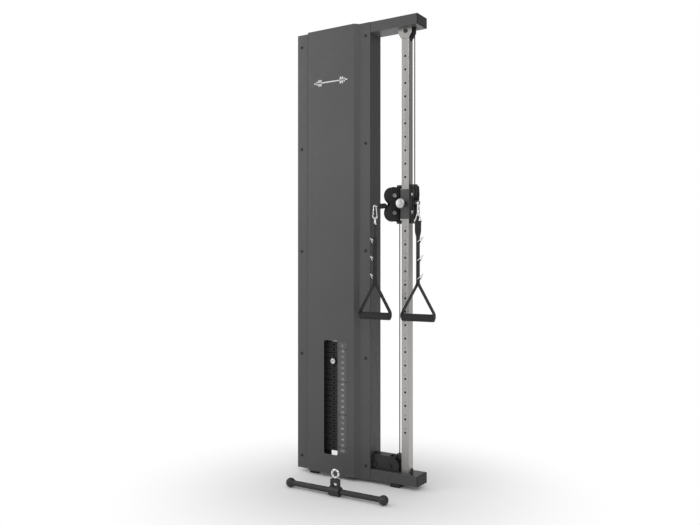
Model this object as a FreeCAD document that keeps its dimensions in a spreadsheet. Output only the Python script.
import FreeCAD, Part
import math
import os
import re
from FreeCAD import Placement, Rotation, Vector

# Cable crossover machine, one slim column unit: a weight-stack tower and a drilled
# column between two rectangular beams. +X is to the right of a user facing the
# machine, the front faces -Y, +Z is up and the floor is z = 0. Millimetres.

doc = FreeCAD.newDocument("cable_crossover")
sheet = doc.addObject("Spreadsheet::Sheet", "dims")

DIMENSIONS = {
    # frame tubes
    "left_end": -400, "right_end": 280, "front_face": 87, "mid_depth": 137,
    "beam_tall": 50, "tube_deep": 100, "tube_wall": 3, "foot_tall": 20, "frame_top": 2220,
    "upright_wide": 50, "tower_wide": 430, "slot_wide": 20,
    # cover
    "sheet_thick": 2, "flange_wide": 60, "bevel": 20, "window_wide": 80, "window_low": 116,
    "window_high": 679, "screw_edge": 63, "screw_pitch": 518.5,
    # column
    "column_mid": 204, "column_side": 40, "hole_low": 259.5, "hole_pitch": 63.5,
    "hole_count": 29, "hole_radius": 5.25, "line_offset": 40,
    # cable and pulleys
    "cable_radius": 2.5, "pulley_radius": 40.4, "pulley_line": 37, "pulley_wide": 16,
    "axle_radius": 5, "low_pulley_tall": 92, "base_pulley_mid": 45,
    "crown_tall": 2138, "crown_rise": 34.5, "head_pulley_tall": 2155,
    # weight stack
    "plate_count": 20, "plate_pitch": 27, "plate_thick": 25, "plate_wide": 313,
    "plate_deep": 84, "stack_low": 130, "lifted_count": 4, "guide_offset": 75,
    "guide_radius": 10, "rod_radius": 11, "stack_pulley_tall": 735,
    # carriage and swivel blocks
    "carriage_tall": 1339, "sleeve_side": 50, "sleeve_tall": 140, "block_angle": 34,
    "spigot_radius": 6.95, "axle_gap": 82, "cheek_radius": 41, "cheek_thick": 3, "cheek_inner": 10.5,
    "exit_angle": 6,
    # handle
    "hang_reach": 130.7, "strap_wide": 30, "apex_tall": 955, "grip_tall": 812,
    "grip_long": 150, "grip_radius": 17.5, "wire_radius": 3.2, "ring_wire": 2.4,
    # floor bar
    "bar_mid": -5, "bar_depth": -164.5, "ball_radius": 22.5, "ball_spread": 253,
    "bar_radius": 13,
}

for line, (alias, value) in enumerate(DIMENSIONS.items(), start=1):
    sheet.set(f"A{line}", alias)
    sheet.set(f"B{line}", str(value))
    sheet.setAlias(f"B{line}", alias)
doc.recompute()

FUNCTIONS = ("sin", "cos")


def bound(text):
    """A sheet expression: every alias in the text is looked up in the sheet."""
    def name(match):
        word = match.group(0)
        return word if word in FUNCTIONS or word == "deg" else f"dims.{word}"
    return re.sub(r"[a-z_]+", name, str(text))


def size(alias):
    """The value of one cell of the sheet."""
    return float(sheet.get(alias))


def bind(thing, **sizes):
    for prop, text in sizes.items():
        thing.setExpression(prop, bound(text))
    return thing


def put(thing, x, y, z):
    for letter, text in (("x", x), ("y", y), ("z", z)):
        thing.setExpression(f"Placement.Base.{letter}", bound(text))
    return thing


def box(x, y, z, long, deep, tall):
    """A block whose lowest corner is at x, y, z."""
    block = doc.addObject("Part::Box", "block")
    bind(block, Length=long, Width=deep, Height=tall)
    return put(block, x, y, z)


AXES = {
    "x": Rotation(Vector(0, 1, 0), 90),
    "y": Rotation(Vector(1, 0, 0), -90),
    "z": Rotation(),
}


def rod(axis, x, y, z, radius, tall):
    """A cylinder that starts at x, y, z and runs along a positive axis."""
    pin = doc.addObject("Part::Cylinder", "pin")
    bind(pin, Radius=radius, Height=tall)
    pin.Placement = Placement(Vector(), AXES[axis])
    return put(pin, x, y, z)


def ball(x, y, z, radius):
    sphere = doc.addObject("Part::Sphere", "ball")
    bind(sphere, Radius=radius)
    sphere.Placement = Placement(Vector(), AXES["x"])
    return put(sphere, x, y, z)


def ring(axis, x, y, z, radius, wire):
    loop = doc.addObject("Part::Torus", "ring")
    bind(loop, Radius1=radius, Radius2=wire)
    loop.Placement = Placement(Vector(), AXES[axis])
    return put(loop, x, y, z)


def fuse(*things):
    whole = doc.addObject("Part::MultiFuse", "fusion")
    whole.Shapes = list(things)
    whole.Refine = True
    return whole


def cut(base, *tools):
    """The base less every tool."""
    rest = doc.addObject("Part::Cut", "cut")
    rest.Base = base
    rest.Tool = tools[0] if len(tools) == 1 else group(*tools)
    rest.Refine = True
    return rest


def group(*things):
    """Separate solids kept together."""
    several = doc.addObject("Part::Compound", "group")
    several.Links = list(things)
    return several


def feature(shape):
    """A piece whose shape Part's own functions made from the sheet's sizes."""
    thing = doc.addObject("Part::Feature", "shape")
    thing.Shape = shape
    return thing


NODES = []


def node(label, thing):
    thing.Label = label
    NODES.append(thing)
    return thing


def side_body(label, outline, depth, back):
    """A plate drawn in the XZ plane: outline(sketch) fills it, depth is its thickness
    and back the Y of its rear face."""
    body = doc.addObject("PartDesign::Body", label + "_body")
    plane = next(f for f in body.Origin.OriginFeatures if f.Role == "XZ_Plane")
    sketch = body.newObject("Sketcher::SketchObject", label + "_sketch")
    sketch.AttachmentSupport = [(plane, "")]
    sketch.MapMode = "FlatFace"
    outline(sketch)
    pad = body.newObject("PartDesign::Pad", label + "_pad")
    pad.Profile = sketch
    pad.setExpression("Length", bound(depth))
    body.setExpression("Placement.Base.y", bound(back))
    return body


def draw_loop(sketch, corners):
    """Straight edges through the corners, closed."""
    for start, end in zip(corners, corners[1:] + corners[:1]):
        sketch.addGeometry(Part.LineSegment(Vector(*start, 0), Vector(*end, 0)))


# ---------------------------------------------------------------- frame tubes

beam_long = "(right_end - left_end)"
tower_right = "(left_end + tower_wide)"
tower_mid = "(left_end + tower_wide / 2)"
beam_top = "(foot_tall + beam_tall)"
crown_low = "(frame_top - beam_tall)"
slot_front = "(mid_depth - slot_wide / 2)"


def wall_hole(x, z):
    """A tapped hole in a beam's rear wall for a wall bracket."""
    return rod("y", x, "front_face + tube_deep - 10", z, "4.25", "20")


def beam(z):
    solid = box("left_end", "front_face", z, beam_long, "tube_deep", "beam_tall")
    hollow = box("left_end - 1", "front_face + tube_wall", f"{z} + tube_wall",
                 f"{beam_long} + 2", "tube_deep - 2 * tube_wall", "beam_tall - 2 * tube_wall")
    holes = [wall_hole(x, f"{z} + beam_tall / 2") for x in ("left_end + 40", "right_end - 40")]
    return cut(solid, hollow, *holes)


low_slot = box("left_end + tower_wide - 45", slot_front, f"{beam_top} - 5",
               "190", "slot_wide", "10")
node("base_beam", cut(beam("foot_tall"), low_slot))

head_slot = box("column_mid - 42", slot_front, f"{crown_low} - 5", "92", "slot_wide", "10")
crown_slot = box(f"{tower_mid} - 50", "mid_depth - 14", f"{crown_low} - 5", "245", "28", "10")
crown_head_slot = box(f"{tower_mid} - 10", "mid_depth - 20", f"{crown_low} - 5", "20", "40", "10")
node("top_beam", cut(beam(crown_low), head_slot, crown_slot, crown_head_slot))


def upright(x):
    tall = f"({crown_low} - {beam_top})"
    solid = box(x, "front_face", beam_top, "upright_wide", "tube_deep", tall)
    hollow = box(f"{x} + tube_wall", "front_face + tube_wall", f"{beam_top} - 1",
                 "upright_wide - 2 * tube_wall", "tube_deep - 2 * tube_wall", f"{tall} + 2")
    return cut(solid, hollow)


right_slots = (
    box(f"{tower_right} - 5", slot_front, f"{beam_top} - 1", "10", "slot_wide", "75"),
    box(f"{tower_right} - upright_wide - 5", "mid_depth - 14", "crown_tall - 50", "10", "28", "85"),
)
node("tower_uprights", group(
    upright("left_end"),
    cut(upright(f"({tower_right} - upright_wide)"), *right_slots)))


def end_plug(x, z):
    """A plastic plug pressed flush into a beam's end."""
    inset = "(tube_wall + 0.2)"
    return box(x, f"front_face + {inset}", f"{z} + {inset}", "12",
               f"tube_deep - 2 * {inset}", f"beam_tall - 2 * {inset}")


def end_cap(z):
    """The right end's plug has a flange that covers the tube's edge."""
    flange = box("right_end", "front_face + 0.5", f"{z} + 0.5", "3", "tube_deep - 1",
                 "beam_tall - 1")
    return fuse(end_plug("right_end - 12", z), flange)


beam_levels = ("foot_tall", crown_low)
node("end_caps", group(*[end_cap(z) for z in beam_levels],
                       *[end_plug("left_end", z) for z in beam_levels]))

# ---------------------------------------------------------------- front cover


def cover_outline(sketch):
    """The folded sheet seen from above: two flanges, two bevels and a raised panel."""
    left, right = size("left_end"), size("left_end") + size("tower_wide")
    flange, bevel, thick = size("flange_wide"), size("bevel"), size("sheet_thick")
    outer = [(left, 0), (left + flange, 0), (left + flange + bevel, -bevel),
             (right - flange - bevel, -bevel), (right - flange, 0), (right, 0)]
    inner = [(x, y + thick) for x, y in reversed(outer)]
    draw_loop(sketch, outer + inner)


cover_body = doc.addObject("PartDesign::Body", "cover_body")
cover_plane = next(f for f in cover_body.Origin.OriginFeatures if f.Role == "XY_Plane")
cover_sketch = cover_body.newObject("Sketcher::SketchObject", "cover_sketch")
cover_sketch.AttachmentSupport = [(cover_plane, "")]
cover_sketch.MapMode = "FlatFace"
cover_outline(cover_sketch)
cover_pad = cover_body.newObject("PartDesign::Pad", "cover_pad")
cover_pad.Profile = cover_sketch
cover_pad.setExpression("Length", bound("frame_top - foot_tall"))
cover_body.setExpression("Placement.Base.y", bound("front_face - sheet_thick"))
cover_body.setExpression("Placement.Base.z", bound("foot_tall"))

screw_columns = ("left_end + upright_wide / 2", f"{tower_right} - upright_wide / 2")
screw_rows = [f"(foot_tall + screw_edge + {row} * screw_pitch)" for row in range(5)]
window_tall = "(window_high - window_low)"
window = fuse(
    box(f"{tower_mid} - window_wide / 2", "front_face - 30", "window_low + 8",
        "window_wide", "20", f"{window_tall} - 16"),
    box(f"{tower_mid} - window_wide / 2 + 8", "front_face - 30", "window_low",
        "window_wide - 16", "20", window_tall),
    *[rod("y", f"{tower_mid} + {side} * (window_wide / 2 - 8)", "front_face - 30", z, "8", "20")
      for side in (-1, 1) for z in ("window_low + 8", "window_high - 8")])
node("front_cover", cut(cover_body, window))


def button_screw(x, y, z, radius):
    """A button head lying on the sheet with its face towards the front."""
    return fuse(rod("y", x, f"{y} - 3", z, radius, "3"), rod("y", x, f"{y} - 4", z, f"{radius} * 0.7", "1"))


strip_left = f"({tower_mid} + window_wide / 2 + 7)"
strip_face = "(front_face - sheet_thick - bevel - 1)"
strip_screws = [button_screw(f"{strip_left} + {dx}", strip_face, f"640 - {row} * 160.5", "2.5")
                for dx in (6, 42) for row in range(4)]
cover_screws = [button_screw(x, "front_face - sheet_thick", z, "7")
                for x in screw_columns for z in screw_rows]
node("cover_screws", group(*cover_screws, *strip_screws))
node("number_strip", box(strip_left, strip_face, "window_low + 14",
                         "48", "1", f"{window_tall} - 20"))

# ---------------------------------------------------------------- column

column_tall = f"({crown_low} - {beam_top})"
column_front = "(mid_depth - column_side / 2)"
column_tube = cut(
    box("column_mid - column_side / 2", column_front, beam_top,
        "column_side", "column_side", column_tall),
    box("column_mid - column_side / 2 + tube_wall", f"{column_front} + tube_wall",
        f"{beam_top} - 1", "column_side - 2 * tube_wall", "column_side - 2 * tube_wall",
        f"{column_tall} + 2"))


def head_outline(sketch):
    """The flared plate that carries the head pulley under the top beam."""
    mid, top = size("column_mid"), size("frame_top") - size("beam_tall")
    draw_loop(sketch, [(mid - 20, top - 49), (mid + 20, top - 49), (mid + 36, top - 23),
                       (mid + 36, top), (mid - 36, top), (mid - 36, top - 23)])


head_plates = [side_body(f"head_{side}", head_outline, "3", back)
               for side, back in (("front", column_front),
                                  ("rear", "mid_depth + column_side / 2 + 3"))]
column_holes = [rod("y", "column_mid", f"{column_front} - 1", f"hole_low + {row} * hole_pitch",
                    "hole_radius", "6") for row in range(int(size("hole_count")))]
pulley_pass = box("column_mid - 60", slot_front, "head_pulley_tall - pulley_radius - 6",
                  "120", "slot_wide", "80")
head_bolt_hole = rod("y", "column_mid + 3", "mid_depth - 30", "head_pulley_tall",
                     "axle_radius", "60")
node("column", group(cut(column_tube, pulley_pass, head_bolt_hole, *column_holes),
                     *[cut(plate, head_bolt_hole) for plate in head_plates]))

# ---------------------------------------------------------------- rubber feet and stops

foot_places = ("column_mid - 68", "left_end + 70")
feet = [box(x, f"front_face + {dy}", "0", "48", "40", "foot_tall")
        for x in foot_places for dy in (6, 54)]
bumpers = [cut(rod("z", f"{tower_mid} + {side} * guide_offset", "mid_depth", beam_top, "28",
                   f"stack_low - {beam_top} - 0.5"),
               rod("z", f"{tower_mid} + {side} * guide_offset", "mid_depth", f"{beam_top} - 1",
                   "guide_radius + 0.2", "80")) for side in (-1, 1)]
carriage_stop = rod("z", "column_mid + 40", "front_face + 22", beam_top, "6", "29")
node("rubber_feet_and_stops", group(*feet, *bumpers, carriage_stop))

# ---------------------------------------------------------------- pulleys


def pulley(x, z):
    """A grooved sheave whose axle runs along Y, as a revolved section."""
    r_out, r_line, half = size("pulley_radius"), size("pulley_line"), size("pulley_wide") / 2
    r_floor = r_line - size("cable_radius") - 0.3
    bore = size("axle_radius") + 0.05
    points = [(bore, -half), (r_out, -half), (r_out, -half + 1.5), (r_floor, -3),
              (r_floor, 3), (r_out, half - 1.5), (r_out, half), (bore, half)]
    wire = Part.makePolygon([Vector(px, py, 0) for px, py in points + points[:1]])
    sheave = feature(Part.Face(wire).revolve(Vector(), Vector(0, 1, 0), 360))
    return put(sheave, x, "mid_depth", z)


low_pulley_mid = "(column_mid - line_offset - pulley_line)"
crown_a = "(base_pulley_mid - 2 * pulley_line)"
crown_b = f"({tower_mid} + 2 * pulley_line)"
head_pulley_mid = "(column_mid + 3)"
fixed_pulleys = {
    "bottom_pulley": (low_pulley_mid, "low_pulley_tall"),
    "base_pulley": ("base_pulley_mid", "low_pulley_tall"),
    "crown_pulley_right": (crown_a, "crown_tall"),
    "crown_pulley_middle": (crown_b, "crown_tall"),
    "crown_pulley_left": (tower_mid, "(crown_tall + crown_rise)"),
    "head_pulley": (head_pulley_mid, "head_pulley_tall"),
}
for label, (x, z) in fixed_pulleys.items():
    node(label, pulley(x, z))


def axle(x, z, half, head):
    """A bolt along Y with a round head at the front and a nut at the back."""
    return fuse(rod("y", x, f"mid_depth - {half}", z, "axle_radius", f"2 * {half}"),
                rod("y", x, f"mid_depth - {half} - 5", z, head, "5"),
                rod("y", x, f"mid_depth + {half}", z, "8", "6"))


axle_halves = {"head_pulley": "23.2", "bottom_pulley": "30.2", "base_pulley": "30.2"}
node("pulley_axles", group(*[
    axle(x, z, axle_halves.get(label, "13.2"), "9.5" if label in axle_halves else "8")
    for label, (x, z) in fixed_pulleys.items()]))


def housing_outline(sketch):
    """Flat top, and a round end about the bottom pulley's axle."""
    start, end = size("left_end") + size("tower_wide"), size("column_mid") - 77
    low, axle_z, radius = size("foot_tall") + size("beam_tall"), size("low_pulley_tall"), 48
    sketch.addGeometry(Part.LineSegment(Vector(start, low, 0), Vector(end + radius, low, 0)))
    sketch.addGeometry(Part.LineSegment(Vector(end + radius, low, 0),
                                        Vector(end + radius, axle_z, 0)))
    round_end = Part.Circle(Vector(end, axle_z, 0), Vector(0, 0, 1), radius)
    sketch.addGeometry(Part.ArcOfCircle(round_end, 0, math.pi / 2))
    sketch.addGeometry(Part.LineSegment(Vector(end, axle_z + radius, 0),
                                        Vector(start, axle_z + radius, 0)))
    sketch.addGeometry(Part.LineSegment(Vector(start, axle_z + radius, 0),
                                        Vector(start, low, 0)))


housing_plates = [side_body(f"housing_{side}", housing_outline, "3", back)
                  for side, back in (("front", "front_face + 23"), ("rear", "front_face + 80"))]
housing_roof = box(tower_right, "front_face + 23", "low_pulley_tall + 45", "90", "54", "3")
bolt_holes = [rod("y", x, "front_face", "low_pulley_tall", "axle_radius", "100")
              for x in (low_pulley_mid, "base_pulley_mid")]
cable_lead = cut(box("column_mid - 58", "mid_depth - 14", "low_pulley_tall + 36", "37", "28", "21"),
                 rod("z", "column_mid - line_offset", "mid_depth", "low_pulley_tall", "4", "80"))
lead_arm = box("column_mid - 58", "front_face + 22", "low_pulley_tall + 44", "12", "56", "13")
lead_relief = rod("y", low_pulley_mid, "mid_depth - 9", "low_pulley_tall", "43", "18")
node("pulley_housing", cut(fuse(*housing_plates, housing_roof, cable_lead, lead_arm),
                           lead_relief, *bolt_holes))

crown_plates = [box(f"{tower_mid} - 30", y, f"{crown_low} - 52", "225", "3", "85")
                for y in ("mid_depth - 13", "mid_depth + 10")]
crown_holes = [rod("y", x, "mid_depth - 30", z, "axle_radius", "60")
               for label, (x, z) in fixed_pulleys.items() if label.startswith("crown")]
rod_bar = cut(
    box(f"{tower_mid} - 165", "mid_depth - 25", "2078", "330", "50", "8"),
    *[rod("z", f"{tower_mid} + {side} * pulley_line", "mid_depth", "2070", "5", "20")
      for side in (-1, 1)],
    *[rod("z", f"{tower_mid} + {side} * guide_offset", "mid_depth", "2070",
          "guide_radius + 0.1", "20") for side in (-1, 1)])
node("crown_bracket", group(
    *[cut(plate, *crown_holes) for plate in crown_plates], rod_bar))
node("guide_rods", group(*[
    rod("z", f"{tower_mid} + {side} * guide_offset", "mid_depth", beam_top, "guide_radius",
        f"2085 - {beam_top}") for side in (-1, 1)]))

# ---------------------------------------------------------------- cable


def tube(edges, radius):
    """A round tube along tangent edges."""
    wire = Part.Wire(edges)
    start = edges[0].valueAt(edges[0].FirstParameter)
    along = edges[0].tangentAt(edges[0].FirstParameter)
    disc = Part.Wire(Part.makeCircle(radius, start, along))
    return wire.makePipeShell([disc], True, True)


def line(start, end):
    return Part.makeLine(Vector(*start), Vector(*end))


def turn(centre, radius, first, last, y):
    """An arc in the XZ plane from one angle to another, in degrees, either way round."""
    def at(angle):
        turned = math.radians(angle)
        return Vector(centre[0] + radius * math.cos(turned), y,
                      centre[1] + radius * math.sin(turned))
    return Part.Arc(at(first), at((first + last) / 2), at(last)).toShape()


cable = size("cable_radius")
reach = size("pulley_line")
mid_y = size("mid_depth")
tower_x = size("left_end") + size("tower_wide") / 2
low_x = size("column_mid") - size("line_offset") - reach
low_z = size("low_pulley_tall")
base_x = size("base_pulley_mid")
crown_z = size("crown_tall")
left_crown_z = crown_z + size("crown_rise")
head_x, head_z = size("column_mid") + 3, size("head_pulley_tall")
riser_x = base_x - reach
crown_a_x = riser_x - reach
crown_b_x = tower_x + 2 * reach

rising_run = tube([
    turn((low_x, low_z), reach, 0, -90, mid_y),
    line((low_x, mid_y, low_z - reach), (base_x, mid_y, low_z - reach)),
    turn((base_x, low_z), reach, -90, -180, mid_y),
    line((riser_x, mid_y, low_z), (riser_x, mid_y, crown_z)),
    turn((crown_a_x, crown_z), reach, 0, 90, mid_y),
    line((crown_a_x, mid_y, crown_z + reach), (crown_b_x, mid_y, crown_z + reach)),
    turn((crown_b_x, crown_z), reach, 90, 180, mid_y)], cable)

slope = math.atan2(head_z - left_crown_z, head_x - tower_x)
lift_x, lift_z = -reach * math.sin(slope), reach * math.cos(slope)
top_run = tube([
    turn((tower_x, left_crown_z), reach, 180, 90 + math.degrees(slope), mid_y),
    line((tower_x + lift_x, mid_y, left_crown_z + lift_z),
         (head_x + lift_x, mid_y, head_z + lift_z)),
    turn((head_x, head_z), reach, 90 + math.degrees(slope), 0, mid_y)], cable)
node("fixed_cable", group(feature(rising_run), feature(top_run)))

stack_line_z = size("stack_pulley_tall")
node("stack_cables", group(
    rod("z", f"{tower_mid} + pulley_line", "mid_depth", "stack_pulley_tall", "cable_radius",
        "crown_tall - stack_pulley_tall"),
    rod("z", f"{tower_mid} - pulley_line", "mid_depth", "stack_pulley_tall", "cable_radius",
        "crown_tall + crown_rise - stack_pulley_tall")))
node("stack_cable_loop", feature(tube(
    [turn((tower_x, stack_line_z), reach, 0, -180, mid_y)], cable)))
node("column_cable_left", rod(
    "z", "column_mid - line_offset", "mid_depth", "low_pulley_tall", "cable_radius",
    "carriage_tall - axle_gap / 2 - low_pulley_tall"))
node("column_cable_right", rod(
    "z", "column_mid + line_offset", "mid_depth", "carriage_tall + axle_gap / 2",
    "cable_radius", "head_pulley_tall - carriage_tall - axle_gap / 2"))

# ---------------------------------------------------------------- weight stack


def weight_plate(index):
    """One plate: two guide holes, the centre bore and the pin's hole from the front."""
    low = f"(stack_low + {index} * plate_pitch)"
    slab = box(f"{tower_mid} - plate_wide / 2", "mid_depth - plate_deep / 2", low,
               "plate_wide", "plate_deep", "plate_thick")
    guides = [rod("z", f"{tower_mid} + {side} * guide_offset", "mid_depth", f"{low} - 1",
                  "guide_radius + 1", "plate_thick + 2") for side in (-1, 1)]
    bore = rod("z", tower_mid, "mid_depth", f"{low} - 1", "rod_radius + 1", "plate_thick + 2")
    pin_hole = rod("y", tower_mid, "mid_depth - plate_deep / 2 - 1",
                   f"{low} + plate_thick / 2", "4.6", "plate_deep / 2 + 1")
    return cut(slab, *guides, bore, pin_hole)


first_lifted = int(size("plate_count") - size("lifted_count"))
node("lower_weight_plates", group(*[weight_plate(i) for i in range(first_lifted)]))
node("lifted_weight_plates", group(*[
    weight_plate(i) for i in range(first_lifted, int(size("plate_count")))]))

stack_top = "(stack_low + (plate_count - 1) * plate_pitch + plate_thick)"
selector_stem = cut(
    rod("z", tower_mid, "mid_depth", "stack_low + 3", "rod_radius", f"{stack_top} - stack_low + 5"),
    *[rod("y", tower_mid, "mid_depth - 20", f"stack_low + {i} * plate_pitch + plate_thick / 2",
          "4.6", "40") for i in range(int(size("plate_count")))])
node("selector_rod", selector_stem)

clevis_plates = [
    box(f"{tower_mid} - 25", y, f"{stack_top} + 8", "50", "3", f"stack_pulley_tall - {stack_top} + 8")
    for y in ("mid_depth - 11.5", "mid_depth + 8.5")]
clevis_base = cut(box(f"{tower_mid} - 50", "mid_depth - 30", stack_top, "100", "60", "8"),
                  rod("z", tower_mid, "mid_depth", f"{stack_top} - 1", "rod_radius", "12"))
clevis_hole = rod("y", tower_mid, "mid_depth - 30", "stack_pulley_tall", "axle_radius", "60")
node("stack_pulley_bracket", group(cut(fuse(clevis_base, *clevis_plates), clevis_hole),
                                   axle(tower_mid, "stack_pulley_tall", "11.7", "8")))
node("stack_pulley", pulley(tower_mid, "stack_pulley_tall"))

pin_tall = f"(stack_low + {first_lifted} * plate_pitch + plate_thick / 2)"
pin_face = "(mid_depth - plate_deep / 2)"
node("selector_pin", cut(
    fuse(rod("y", tower_mid, f"{pin_face} - 5", pin_tall, "4.2", "56"),
         rod("y", tower_mid, f"{pin_face} - 14", pin_tall, "15", "10")),
    rod("y", tower_mid, f"{pin_face} - 15", pin_tall, "4", "3")))

# ---------------------------------------------------------------- carriage

sleeve_low = "(carriage_tall - sleeve_tall / 2)"


def arm_outline(side, way):
    """An L-shaped hinge arm: it rises from the sleeve's side wall and reaches over the block."""
    def outline(sketch):
        mid, z = size("column_mid"), size("carriage_tall")
        wall, root = size("sleeve_side") / 2, size("sleeve_tall") / 2 - 10
        shape = [(wall - 3, root), (wall, root), (wall, 84), (wall + 25, 84),
                 (wall + 25, 92), (wall - 3, 92)]
        draw_loop(sketch, [(mid + side * x, z + way * tall) for x, tall in shape])
    return outline


def on_swivel(side, z, radius, tall):
    """An upright cylinder on a block's swivel axis, from a height above the carriage's middle."""
    return rod("z", f"column_mid + {side} * line_offset", "mid_depth", f"carriage_tall + {z}",
               radius, tall)


def hinge_arm(side, way):
    """An arm with the hollow spigot that the block's tab turns on and the cable runs through."""
    name = f"arm_{'left' if side < 0 else 'right'}_{'low' if way < 0 else 'high'}"
    plate = side_body(name, arm_outline(side, way), "22", "mid_depth + 11")
    spigot = on_swivel(side, 74.5 if way > 0 else -92, "spigot_radius", "17.5")
    return cut(fuse(plate, spigot), on_swivel(side, -95, "3.6", "190"))


arms = [hinge_arm(side, way) for side in (-1, 1) for way in (-1, 1)]
sleeve = cut(
    box("column_mid - sleeve_side / 2", "mid_depth - sleeve_side / 2", sleeve_low,
        "sleeve_side", "sleeve_side", "sleeve_tall"),
    box("column_mid - sleeve_side / 2 + tube_wall", "mid_depth - sleeve_side / 2 + tube_wall",
        f"{sleeve_low} - 1", "sleeve_side - 2 * tube_wall", "sleeve_side - 2 * tube_wall",
        "sleeve_tall + 2"))
barrel = rod("y", "column_mid", "mid_depth - sleeve_side / 2 - 28", "carriage_tall", "13", "29")
barrel_bore = rod("y", "column_mid", "mid_depth - sleeve_side / 2 - 30", "carriage_tall",
                  "6.1", "34")
node("carriage_sleeve", cut(fuse(sleeve, *arms, barrel), barrel_bore))


def liner(low):
    return cut(box("column_mid - 21.9", "mid_depth - 21.9", low, "43.8", "43.8", "22"),
               box("column_mid - 20.4", "mid_depth - 20.4", f"{low} - 1", "40.8", "40.8", "24"))


node("sleeve_liners", group(liner(f"{sleeve_low} + 1"), liner(f"{sleeve_low} + sleeve_tall - 23")))
node("lock_pin", fuse(
    rod("y", "column_mid", "mid_depth - sleeve_side / 2 - 52", "carriage_tall", "23", "13"),
    rod("y", "column_mid", "mid_depth - sleeve_side / 2 - 40", "carriage_tall", "6", "34"),
    rod("y", "column_mid", "mid_depth - sleeve_side / 2 - 8", "carriage_tall", "4.8", "12.4")))

# ---------------------------------------------------------------- swivel blocks
# Each block is drawn about its swivel axis: local +X is the way it points, local Z = 0
# is the carriage's middle. It is then turned and put on the column's left or right line.

SIDES = {"left": -1, "right": 1}


def block_place(side):
    """Where a block's own axes lie in the machine."""
    heading = -90 - side * -size("block_angle")
    return Placement(Vector(size("column_mid") + side * size("line_offset"), mid_y,
                            size("carriage_tall")), Rotation(Vector(0, 0, 1), heading))


def placed(shape, side):
    shape.Placement = block_place(side).multiply(shape.Placement)
    return feature(shape.copy())


def cheek(low_y):
    """A figure-of-eight plate: a disc about each axle and a waist between them."""
    thick, gap, radius = size("cheek_thick"), size("axle_gap") / 2, size("cheek_radius")
    out = Vector(0, 1, 0)
    discs = [Part.makeCylinder(radius, thick, Vector(reach, low_y, way * gap), out)
             for way in (-1, 1)]
    waist = Part.makeBox(44, thick, gap + 8, Vector(reach - 22, low_y, -(gap + 8) / 2))
    plate = discs[0].multiFuse([discs[1], waist])
    trim = Part.makeBox(20, thick + 2, 4 * radius, Vector(2 - 20, low_y - 1, -2 * radius))
    bolts = [Part.makeCylinder(size("axle_radius"), thick + 2,
                               Vector(reach, low_y - 1, way * gap), out) for way in (-1, 1)]
    return plate.cut([trim] + bolts)


def block_frame(side):
    inner, thick = size("cheek_inner"), size("cheek_thick")
    pieces = [cheek(inner), cheek(-inner - thick)]
    for way in (-1, 1):
        low = 75 if way > 0 else -83.5
        tab = Part.makeBox(14.5, 2 * inner, 8.5, Vector(0, -inner, low))
        knuckle = Part.makeCylinder(inner, 8.5, Vector(0, 0, low))
        bore = Part.makeCylinder(size("spigot_radius") + 0.08, 8.5, Vector(0, 0, low))
        pieces.append(tab.fuse(knuckle).cut(bore))
        for low_y in (inner, -inner - thick):
            pieces.append(Part.makeBox(13, thick, 26, Vector(2, low_y, 57.5 if way > 0 else -83.5)))
    whole = pieces[0].multiFuse(pieces[1:])
    return placed(whole.removeSplitter(), side)


def block_axles(side):
    inner, thick = size("cheek_inner"), size("cheek_thick")
    half = inner + thick
    bolts = []
    for way in (-1, 1):
        at = Vector(reach, -half, way * size("axle_gap") / 2)
        out = Vector(0, 1, 0)
        head_y = half if side < 0 else -half - 7
        nut_y = -half - 5 if side < 0 else half
        bolt = Part.makeCylinder(size("axle_radius"), 2 * half, at, out)
        head = Part.makeCylinder(9.5, 7, Vector(at.x, head_y, at.z), out)
        nut = Part.makeCylinder(7, 5, Vector(at.x, nut_y, at.z), out)
        bolts.append(bolt.fuse([head, nut]))
    return placed(Part.makeCompound(bolts), side)


def block_pulley(side, way):
    r_out, half = size("pulley_radius"), size("pulley_wide") / 2
    bore, floor = size("axle_radius") + 0.05, reach - cable - 0.3
    points = [(bore, -half), (r_out, -half), (r_out, -half + 1.5), (floor, -3),
              (floor, 3), (r_out, half - 1.5), (r_out, half), (bore, half)]
    wire = Part.makePolygon([Vector(px, py, 0) for px, py in points + points[:1]])
    sheave = Part.Face(wire).revolve(Vector(), Vector(0, 1, 0), 360)
    sheave.translate(Vector(reach, 0, way * size("axle_gap") / 2))
    return placed(sheave, side)


def exit_point(side):
    """Where the cable leaves its pulley, dropping at the exit angle: the left cable
    comes up over the lower pulley and the right one comes down under the upper."""
    drop = math.radians(size("exit_angle"))
    z = side * size("axle_gap") / 2
    angle = math.pi / 2 - drop if side < 0 else 1.5 * math.pi - drop
    return Vector(reach + reach * math.cos(angle), 0, z + reach * math.sin(angle))


def along_exit(side, distance):
    """A point on the cable's line, at a distance from the swivel axis."""
    start = exit_point(side)
    slope_down = math.tan(math.radians(size("exit_angle")))
    return Vector(distance, 0, start.z - (distance - start.x) * slope_down)


def block_cable(side):
    drop = size("exit_angle")
    first, last = (180, 90 - drop) if side < 0 else (180, 270 - drop)
    arc = turn((reach, side * size("axle_gap") / 2), reach, first, last, 0)
    lead = Part.makeLine(exit_point(side), along_exit(side, 70))
    return placed(tube([arc, lead], cable), side)


def cable_end(side):
    """The rubber stop on the cable's end and the eye that the snap hook hangs from."""
    start = along_exit(side, 71)
    out = (along_exit(side, 112) - start).normalize()
    nose = Part.makeCone(9, 12.5, 8, start, out)
    stop = Part.makeCylinder(12.5, 36.7, start + out * 8, out)
    eye_mid = along_exit(side, size("hang_reach") - 7)
    eye = Part.makeTorus(7, 2.2, eye_mid, Vector(0, 0, 1))
    return placed(Part.makeCompound([nose.fuse(stop).removeSplitter(), eye.cut(stop)]), side)


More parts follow.
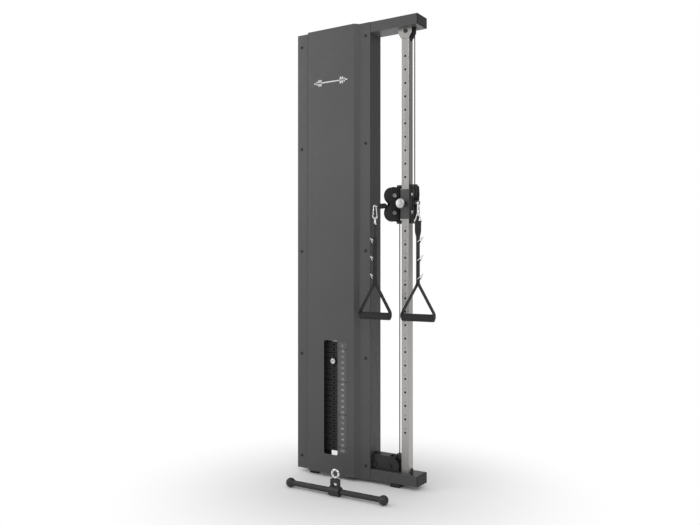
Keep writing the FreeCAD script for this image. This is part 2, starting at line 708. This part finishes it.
for label, side in SIDES.items():
    node(f"{label}_block_frame", block_frame(side))
    node(f"{label}_block_axles", block_axles(side))
    node(f"{label}_upper_pulley", block_pulley(side, 1))
    node(f"{label}_lower_pulley", block_pulley(side, -1))
    node(f"{label}_block_cable", block_cable(side))
    node(f"{label}_cable_end", cable_end(side))

# ---------------------------------------------------------------- handles


def hook(side):
    """A pear-shaped snap hook in the block's own plane, open on its outer side, and the
    gate that closes it."""
    wire, small, large, deep = size("wire_radius"), 6.2, 11, 45
    pivot = along_exit(side, size("hang_reach"))
    lean = math.degrees(math.asin((large - small) / deep))
    low = Vector(pivot.x, 0, pivot.z - deep)

    def on(centre, radius, angle):
        turned = math.radians(angle)
        return centre + Vector(radius * math.cos(turned), 0, radius * math.sin(turned))

    inner = [on(pivot, small, 180 - lean), on(low, large, 180 - lean)]
    outer = [on(low, large, lean), on(pivot, small, lean)]
    gate_low, gate_top = outer[0] + (outer[1] - outer[0]) * 0.12, outer[0] + (outer[1] - outer[0]) * 0.86
    body_edges = [
        Part.makeLine(gate_top + (outer[1] - outer[0]) * 0.02, outer[1]),
        Part.Arc(outer[1], on(pivot, small, 90), inner[0]).toShape(),
        Part.makeLine(inner[0], inner[1]),
        Part.Arc(inner[1], on(low, large, -90), outer[0]).toShape(),
        Part.makeLine(outer[0], gate_low - (outer[1] - outer[0]) * 0.02)]
    gate_line = gate_top - gate_low
    gate = Part.makeCylinder(wire * 0.85, gate_line.Length, gate_low, gate_line)
    return placed(tube(body_edges, wire), side), placed(gate, side), low


def world(point, side):
    return block_place(side).multVec(point)


def triangle_ring(top, radius, half, tall, wire):
    """A wire triangle in the YZ plane: a round apex over a straight base."""
    lean = math.asin((half - radius) / tall)
    base_z = top.z - tall

    def at(y, z):
        return Vector(top.x, top.y + y, z)

    shoulder = radius * math.cos(lean)
    rise = radius * math.sin(lean)
    corners = [at(-shoulder, top.z + rise), at(-half, base_z), at(half, base_z),
               at(shoulder, top.z + rise)]
    arc = Part.Arc(corners[3], at(0, top.z + radius), corners[0]).toShape()
    legs = [Part.makeLine(corners[0], corners[1]), Part.makeLine(corners[1], corners[2]),
            Part.makeLine(corners[2], corners[3])]
    solids = [tube([arc], wire)]
    solids += [Part.makeCylinder(wire, leg.Length, leg.Vertexes[0].Point,
                                 leg.Vertexes[1].Point - leg.Vertexes[0].Point) for leg in legs]
    solids += [Part.makeSphere(wire, corner) for corner in corners]
    return solids[0].multiFuse(solids[1:])


def slab(start, end, thick, wide):
    """A flat run of webbing in the XZ plane, wide along Y."""
    along = (end - start).normalize()
    across = Vector(-along.z, 0, along.x) * (thick / 2)
    half = Vector(0, wide / 2, 0)
    corners = [start + across, end + across, end - across, start - across]
    face = Part.Face(Part.makePolygon([corner - half for corner in corners + corners[:1]]))
    return face.extrude(half * 2)


ring_levels = (1170, 1086, 1002)
for label, side in SIDES.items():
    hook_piece, gate_piece, hook_low = hook(side)
    node(f"{label}_snap_hook", hook_piece)
    node(f"{label}_hook_gate", gate_piece)
    bottom = world(hook_low, side)
    ring_top = Vector(bottom.x, bottom.y, bottom.z - 11 + 0.4)
    wire = size("ring_wire")
    top_ring = triangle_ring(ring_top, 6.2, 17, 30, wire)
    top_ring.rotate(ring_top, Vector(0, 0, 1), -side * 44)
    strap_top = Vector(bottom.x, bottom.y, ring_top.z - 30 - wire - 0.2)
    rings = [top_ring]
    for level in ring_levels:
        base = Vector(bottom.x + side * 5.2, bottom.y, level - 14)
        small = triangle_ring(Vector(base.x, base.y, base.z + 24), 5, 15, 24, 1.9)
        small.rotate(base, Vector(0, 1, 0), side * 42)
        rings.append(small)
    node(f"{label}_strap_rings", feature(Part.makeCompound(rings)))

    apex = Vector(bottom.x, bottom.y, size("apex_tall"))
    wide, grip_z = size("strap_wide"), size("grip_tall")
    end_x = size("grip_long") / 2 + 6.6
    runs = [slab(strap_top, apex, 5, wide)]
    for way in (-1, 1):
        knee = Vector(bottom.x + way * end_x, bottom.y, grip_z + 19)
        foot = Vector(knee.x, knee.y, grip_z - 14)
        runs += [slab(apex, knee, 2.6, wide), slab(knee, foot, 2.6, wide),
                 Part.makeCylinder(1.3, wide, knee - Vector(0, wide / 2, 0), Vector(0, 1, 0))]
    strap_shape = runs[0].multiFuse(runs[1:]).removeSplitter()
    node(f"{label}_strap", feature(strap_shape))

    half_grip = size("grip_long") / 2
    left_cap = Vector(bottom.x - half_grip - 5, bottom.y, grip_z)
    core = Part.makeCylinder(11, 2 * half_grip + 10, left_cap, Vector(1, 0, 0))
    caps = [Part.makeCylinder(size("grip_radius"), 4.6, Vector(x, bottom.y, grip_z), Vector(1, 0, 0))
            for x in (left_cap.x, bottom.x + half_grip + 0.4)]
    node(f"{label}_grip_core", feature(core.multiFuse(caps).removeSplitter()))
    sleeve_start = Vector(bottom.x - half_grip, bottom.y, grip_z)
    foam = Part.makeCylinder(size("grip_radius"), 2 * half_grip, sleeve_start, Vector(1, 0, 0))
    bore = Part.makeCylinder(11.08, 2 * half_grip, sleeve_start, Vector(1, 0, 0))
    node(f"{label}_grip", feature(foam.cut(bore)))

# ---------------------------------------------------------------- floor bar

bar_ends = [ball(f"bar_mid + {side} * ball_spread", "bar_depth", "ball_radius", "ball_radius")
            for side in (-1, 1)]
node("pull_bar", fuse(*bar_ends, rod("x", "bar_mid - ball_spread + 10", "bar_depth", "ball_radius",
                                     "bar_radius", "2 * ball_spread - 20")))
collar = rod("x", "bar_mid - 28", "bar_depth", "ball_radius", "ball_radius - 0.4", "56")
stirrup = cut(box("bar_mid - 22", "bar_depth - 10", "ball_radius", "44", "20", "54.5"),
              box("bar_mid - 13", "bar_depth - 11", "ball_radius + 22", "26", "22", "18"))
node("bar_hanger", cut(fuse(collar, stirrup),
                       rod("x", "bar_mid - 30", "bar_depth", "ball_radius", "bar_radius + 0.06", "60"),
                       rod("z", "bar_mid", "bar_depth", "ball_radius + 30", "5.06", "30")))
node("bar_eye", fuse(
    ring("y", "bar_mid", "bar_depth", "102", "17.4", "5.1"),
    rod("z", "bar_mid", "bar_depth", "ball_radius + 36", "5", "24"),
    rod("z", "bar_mid", "bar_depth", "ball_radius + 36", "9", "3.6")))

# ---------------------------------------------------------------- check and export

doc.recompute()
for thing in doc.Objects:
    if "Invalid" in thing.State or "Error" in thing.State:
        raise RuntimeError(f"{thing.Label} failed: {thing.State}")
os.makedirs("parts", exist_ok=True)
for thing in NODES:
    if thing.Shape.isNull() or not thing.Shape.isValid():
        raise RuntimeError(f"{thing.Label} has no valid shape")
for thing in NODES:
    thing.Shape.exportStep(f"parts/{thing.Label}.step")
print(len(NODES), "nodes")
